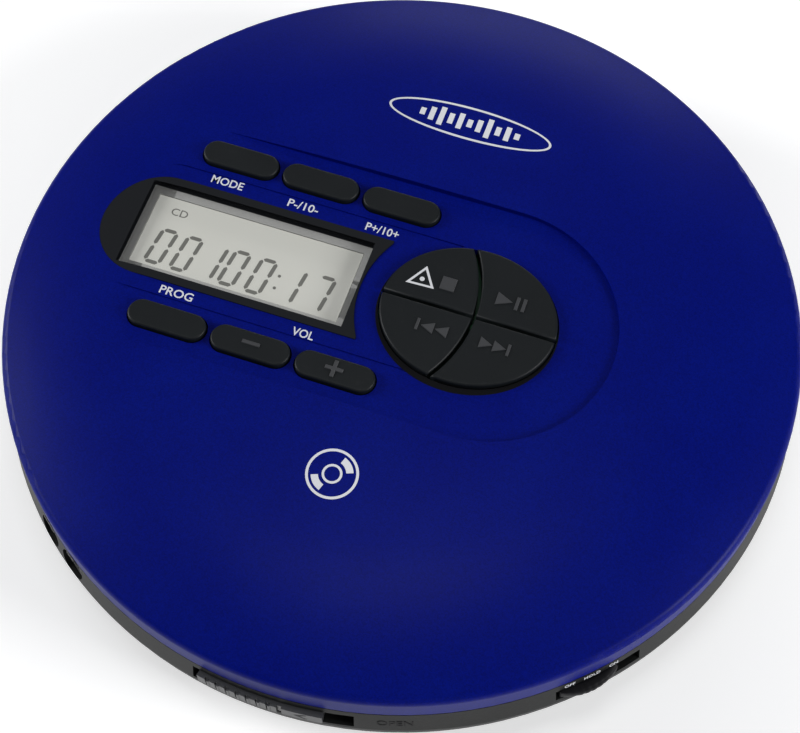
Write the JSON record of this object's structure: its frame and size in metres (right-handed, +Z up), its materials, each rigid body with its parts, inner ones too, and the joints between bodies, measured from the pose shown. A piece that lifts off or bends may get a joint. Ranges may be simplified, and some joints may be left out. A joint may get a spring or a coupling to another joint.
{
  "type": "portable cd player",
  "caption": "Round clamshell portable CD player with a hinged lid that carries the display and keys, a side latch, hold switch and sockets.",
  "frame": {"origin": "under the centre of the round case, on the surface its feet stand on", "axes": "+Z up, front (latch) at -Y, hinge at +Y, keys at +X of the display"},
  "size_m": [0.142, 0.1422, 0.0279],
  "materials": {
    "lid_blue": "satin blue lacquer",
    "base_grey": "fine matt",
    "deck_black": "satin",
    "key_black": "soft satin",
    "latch_grey": "satin",
    "window_smoke": "gloss",
    "silver_trim": "satin silver",
    "lcd": "gloss",
    "circuit_green": "solder mask",
    "spring_steel": "plated",
    "rubber_black": "matt",
    "cell_label": "printed sleeve",
    "chip_black": "matt",
    "motor_steel": "ground",
    "chassis_zinc": "stamped",
    "sled_black": "moulded",
    "lens_glass": "coated"
  },
  "bodies": {
    "base": {"base_shell": "base_grey", "deck_plate": "deck_black", "rubber_feet": "rubber_black", "case_screws": "spring_steel", "battery_cell_inner": "cell_label", "battery_cell_outer": "cell_label", "battery_springs": "spring_steel", "battery_contacts": "spring_steel", "main_board": "circuit_green", "board_chips": "chip_black", "board_capacitors": "chip_black", "phones_jack": "chip_black", "line_out_jack": "chip_black", "power_jack": "chip_black", "hold_switch": "chip_black", "lid_switch": "chip_black", "hinge_pin": "spring_steel", "mechanism_chassis": "chassis_zinc", "damper_mounts": "rubber_black", "spindle_motor": "motor_steel", "guide_rail_left": "motor_steel", "guide_rail_right": "motor_steel", "sled_motor": "motor_steel"},
    "lid": {"lid_shell": "lid_blue", "lid_rim": "lid_blue", "display_window": "window_smoke", "display_frame": "silver_trim", "display_glass": "lcd", "key_board": "circuit_green", "dome_switches": "spring_steel", "lid_liner": "deck_black", "disc_pads": "rubber_black", "lid_screws": "spring_steel", "lid_catch": "spring_steel"},
    "mode_button": {"mode_button": "key_black"},
    "skip_back_button": {"skip_back_button": "key_black"},
    "skip_forward_button": {"skip_forward_button": "key_black"},
    "program_button": {"program_button": "key_black"},
    "volume_down_button": {"volume_down_button": "key_black"},
    "volume_up_button": {"volume_up_button": "key_black"},
    "stop_button": {"stop_button": "key_black"},
    "play_button": {"play_button": "key_black"},
    "previous_button": {"previous_button": "key_black"},
    "next_button": {"next_button": "key_black"},
    "battery_door": {"battery_door": "base_grey"},
    "open_latch": {"open_latch": "latch_grey"},
    "hold_knob": {"hold_knob": "key_black"},
    "lid_plunger": {"lid_switch_plunger": "chip_black"},
    "spindle": {"turntable": "sled_black", "disc_balls": "motor_steel"},
    "sled": {"pickup_sled": "sled_black", "objective_lens": "lens_glass"},
    "lead_screw": {"lead_screw": "motor_steel"}
  },
  "joints": [
    {"name": "lid_hinge", "type": "hinge", "parent": "base", "child": "lid", "pos_m": [0, 0.0672, 0.0166], "axis": [-1, 0, 0], "range_deg": [0, 60]},
    {"name": "mode_button_press", "type": "slide", "parent": "lid", "child": "mode_button", "axis": [0, 0, -1], "range_m": [0, 0.0005], "stiffness_N_per_m": 300, "springref_m": -0.0005},
    {"name": "skip_back_button_press", "type": "slide", "parent": "lid", "child": "skip_back_button", "axis": [0, 0, -1], "range_m": [0, 0.0005], "stiffness_N_per_m": 300, "springref_m": -0.0005},
    {"name": "skip_forward_button_press", "type": "slide", "parent": "lid", "child": "skip_forward_button", "axis": [0, 0, -1], "range_m": [0, 0.0005], "stiffness_N_per_m": 300, "springref_m": -0.0005},
    {"name": "program_button_press", "type": "slide", "parent": "lid", "child": "program_button", "axis": [0, 0, -1], "range_m": [0, 0.0005], "stiffness_N_per_m": 300, "springref_m": -0.0005},
    {"name": "volume_down_button_press", "type": "slide", "parent": "lid", "child": "volume_down_button", "axis": [0, 0, -1], "range_m": [0, 0.0005], "stiffness_N_per_m": 300, "springref_m": -0.0005},
    {"name": "volume_up_button_press", "type": "slide", "parent": "lid", "child": "volume_up_button", "axis": [0, 0, -1], "range_m": [0, 0.0005], "stiffness_N_per_m": 300, "springref_m": -0.0005},
    {"name": "stop_button_press", "type": "slide", "parent": "lid", "child": "stop_button", "axis": [0, 0, -1], "range_m": [0, 0.0005], "stiffness_N_per_m": 300, "springref_m": -0.0005},
    {"name": "play_button_press", "type": "slide", "parent": "lid", "child": "play_button", "axis": [0, 0, -1], "range_m": [0, 0.0005], "stiffness_N_per_m": 300, "springref_m": -0.0005},
    {"name": "previous_button_press", "type": "slide", "parent": "lid", "child": "previous_button", "axis": [0, 0, -1], "range_m": [0, 0.0005], "stiffness_N_per_m": 300, "springref_m": -0.0005},
    {"name": "next_button_press", "type": "slide", "parent": "lid", "child": "next_button", "axis": [0, 0, -1], "range_m": [0, 0.0005], "stiffness_N_per_m": 300, "springref_m": -0.0005},
    {"name": "latch_slide", "type": "hinge", "parent": "base", "child": "open_latch", "pos_m": [0, 0, 0.0124], "axis": [0, 0, 1], "range_deg": [0, 3.3], "stiffness_Nm_per_rad": 1, "springref_deg": -1.72},
    {"name": "hold_slide", "type": "hinge", "parent": "base", "child": "hold_knob", "pos_m": [0, 0, 0.0124], "axis": [0, 0, 1], "range_deg": [0, 3]},
    {"name": "lid_plunger_press", "type": "slide", "parent": "base", "child": "lid_plunger", "axis": [0, 0, -1], "range_m": [0, 0.0012], "stiffness_N_per_m": 150, "springref_m": -0.0005},
    {"name": "spindle_turn", "type": "hinge", "parent": "base", "child": "spindle", "pos_m": [0, 0, 0.0184], "axis": [0, 0, 1], "continuous": true},
    {"name": "sled_travel", "type": "slide", "parent": "base", "child": "sled", "axis": [1, 0, 0], "range_m": [0, 0.031]},
    {"name": "lead_screw_turn", "type": "hinge", "parent": "base", "child": "lead_screw", "pos_m": [0.03, -0.0206, 0.0134], "axis": [1, 0, 0], "range_deg": [-10, 3800]},
    {"name": "battery_door_off", "type": "slide", "parent": "base", "child": "battery_door", "axis": [0, 0, -1], "range_m": [0, 0.012]}
  ],
  "couplings": [
    {"joint": "lead_screw_turn", "follows": "sled_travel", "rad_per_m": 2094.4}
  ]
}
